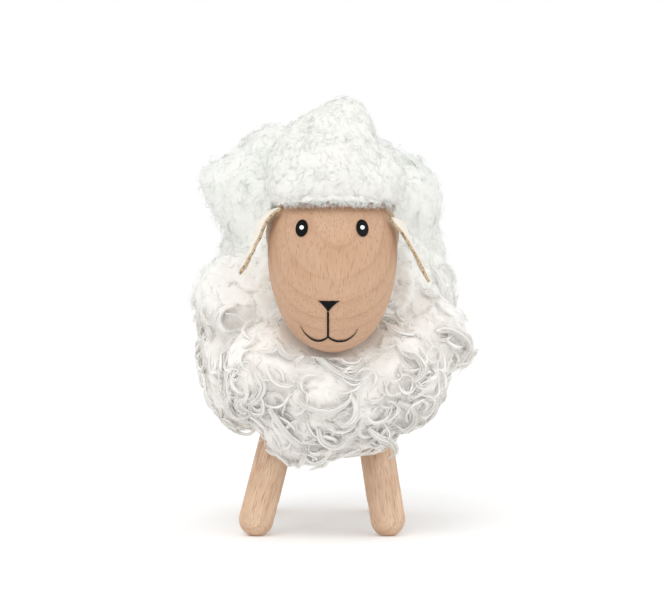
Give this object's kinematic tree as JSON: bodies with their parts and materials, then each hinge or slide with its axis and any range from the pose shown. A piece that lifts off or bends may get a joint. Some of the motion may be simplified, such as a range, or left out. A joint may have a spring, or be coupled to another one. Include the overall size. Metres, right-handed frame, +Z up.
{
  "type": "sheep figurine",
  "caption": "Standing sheep ornament: beech head and legs, leather ears, and a coat and cap of curly sheepskin wool.",
  "frame": {"origin": "on the floor under the middle of the figure's bounding box, at the level of the feet", "axes": "+Z up, the face looks towards -Y, +X is to the right of a viewer who faces the figure"},
  "size_m": [0.0995, 0.1408, 0.149],
  "materials": {
    "beech": "fine sanded beech with a thin clear oil",
    "hide": "undyed sheepskin backing",
    "long_wool": "long curly undyed wool",
    "short_wool": "short brushed undyed wool",
    "ear_leather": "cream leather with a raw tan cut edge",
    "black_paint": "glossy black enamel paint",
    "white_paint": "glossy white enamel paint"
  },
  "bodies": {
    "figure": {"body_core": "beech", "body_hide": "hide", "body_wool": "long_wool", "neck_dowel": "beech", "leg_front_left": "beech", "leg_front_right": "beech", "leg_rear_left": "beech", "leg_rear_right": "beech"},
    "head_group": {"head": "beech", "cap_hide": "hide", "cap_wool": "short_wool", "nose": "black_paint", "mouth": "black_paint", "eye_left": "black_paint", "eye_right": "black_paint", "eye_glint_left": "white_paint", "eye_glint_right": "white_paint"},
    "ear_left_leaf": {"ear_left": "ear_leather"},
    "ear_right_leaf": {"ear_right": "ear_leather"}
  },
  "joints": [
    {"name": "head_turn", "type": "hinge", "parent": "figure", "child": "head_group", "pos_m": [0, -0.044, 0.0994], "axis": [0, -0.891, 0.454], "range_deg": [-20, 20]},
    {"name": "ear_left_lift", "type": "hinge", "parent": "head_group", "child": "ear_left_leaf", "pos_m": [-0.0172, -0.0542, 0.1108], "axis": [-0.4797, 0.8494, -0.2199], "range_deg": [0, 45], "stiffness_Nm_per_rad": 0.001},
    {"name": "ear_right_lift", "type": "hinge", "parent": "head_group", "child": "ear_right_leaf", "pos_m": [0.0186, -0.0542, 0.108], "axis": [-0.4797, -0.8494, 0.2199], "range_deg": [0, 45], "stiffness_Nm_per_rad": 0.001}
  ]
}
